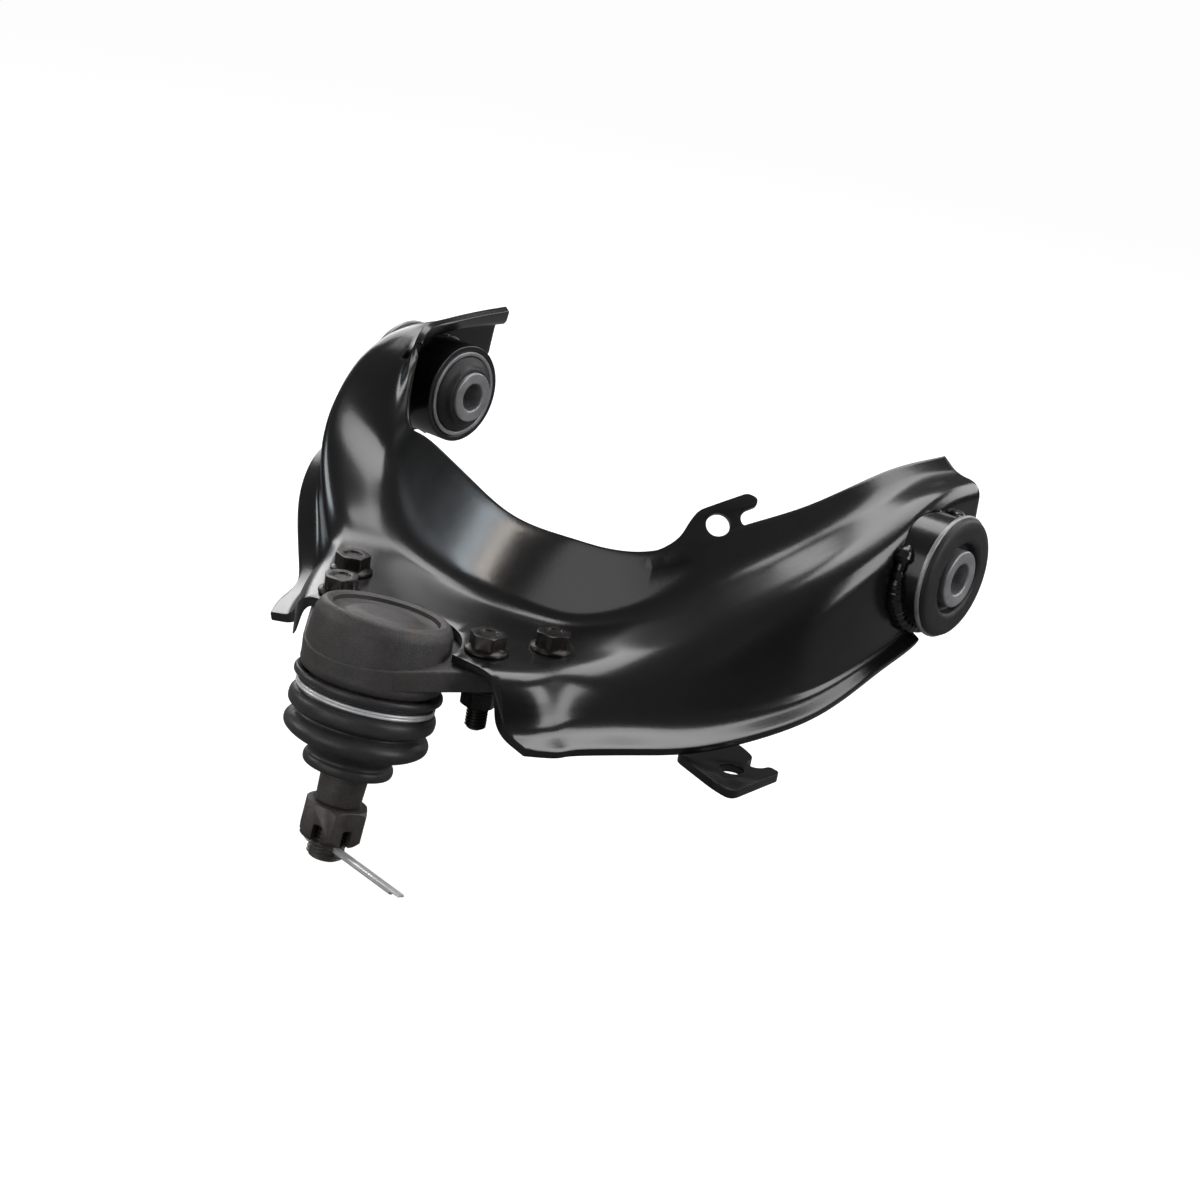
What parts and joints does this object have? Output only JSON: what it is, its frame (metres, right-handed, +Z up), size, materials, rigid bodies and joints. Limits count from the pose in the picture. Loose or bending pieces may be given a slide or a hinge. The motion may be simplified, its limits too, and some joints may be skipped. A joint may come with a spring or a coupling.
{
  "type": "suspension control arm",
  "caption": "Pressed-steel control arm: a U-shaped channel with a rubber bush in each leg and a bolted-on ball joint with castle nut and cotter pin.",
  "frame": {"origin": "on the pivot axis through both bush bores, midway between the two inner-sleeve faces that face +X", "axes": "+X along the pivot axis from the front bush to the rear bush, +Y inboard from the ball joint to the pivot axis, +Z up, square to the plate that the ball joint bolts to"},
  "size_m": [0.2945, 0.2331, 0.1637],
  "materials": {
    "arm_paint": "gloss black electro-coat",
    "housing_phosphate": "matte dark phosphate",
    "sleeve_steel": "satin grey",
    "stud_steel": "turned, satin",
    "nut_dark": "dark oiled steel",
    "bolt_dark": "dark brownish, semi-gloss",
    "zinc": "bright zinc plate",
    "bush_rubber": "moulded, matte",
    "boot_rubber": "moulded, satin",
    "liner_plastic": "plain moulded"
  },
  "bodies": {
    "arm": {"arm_pressing": "arm_paint", "hose_bracket": "arm_paint", "front_tube": "arm_paint", "rear_tube": "arm_paint", "front_outer_sleeve": "sleeve_steel", "rear_outer_sleeve": "sleeve_steel", "front_rubber": "bush_rubber", "rear_rubber": "bush_rubber", "ball_joint_housing": "housing_phosphate", "housing_cover": "housing_phosphate", "ball_seat": "liner_plastic", "dust_boot": "boot_rubber", "boot_clip": "zinc", "flange_bolt_1": "bolt_dark", "flange_bolt_2": "bolt_dark", "flange_bolt_3": "bolt_dark", "flange_bolt_4": "bolt_dark", "flange_nut_1": "bolt_dark", "flange_nut_2": "bolt_dark", "flange_nut_3": "bolt_dark", "flange_nut_4": "bolt_dark"},
    "front_sleeve": {"front_inner_sleeve": "sleeve_steel"},
    "rear_sleeve": {"rear_inner_sleeve": "sleeve_steel"},
    "ball": {"stud_ball": "stud_steel"},
    "boot_ring": {"boot_seat_ring": "stud_steel"},
    "stud": {"stud_shank": "stud_steel", "castle_nut": "nut_dark", "cotter_pin": "zinc"}
  },
  "joints": [
    {"name": "front_bush_twist", "type": "hinge", "parent": "arm", "child": "front_sleeve", "pos_m": [-0.14725, 0, 0], "axis": [1, 0, 0], "range_deg": [-25, 25], "stiffness_Nm_per_rad": 60, "deforming": ["front_rubber"]},
    {"name": "rear_bush_twist", "type": "hinge", "parent": "arm", "child": "rear_sleeve", "pos_m": [0.10125, 0, 0], "axis": [1, 0, 0], "range_deg": [-25, 25], "stiffness_Nm_per_rad": 60, "deforming": ["rear_rubber"]},
    {"name": "stud_tilt_across", "type": "hinge", "parent": "arm", "child": "ball", "pos_m": [-0.013, -0.16313, -0.04973], "axis": [1, 0, 0], "range_deg": [-16, 16], "deforming": ["dust_boot"]},
    {"name": "stud_tilt_along", "type": "hinge", "parent": "ball", "child": "boot_ring", "pos_m": [-0.013, -0.16313, -0.04973], "axis": [0, 0.9848, -0.1736], "range_deg": [-16, 16], "deforming": ["dust_boot"]},
    {"name": "stud_spin", "type": "hinge", "parent": "boot_ring", "child": "stud", "pos_m": [-0.013, -0.16313, -0.04973], "axis": [0, 0.1736, 0.9848], "continuous": true}
  ]
}
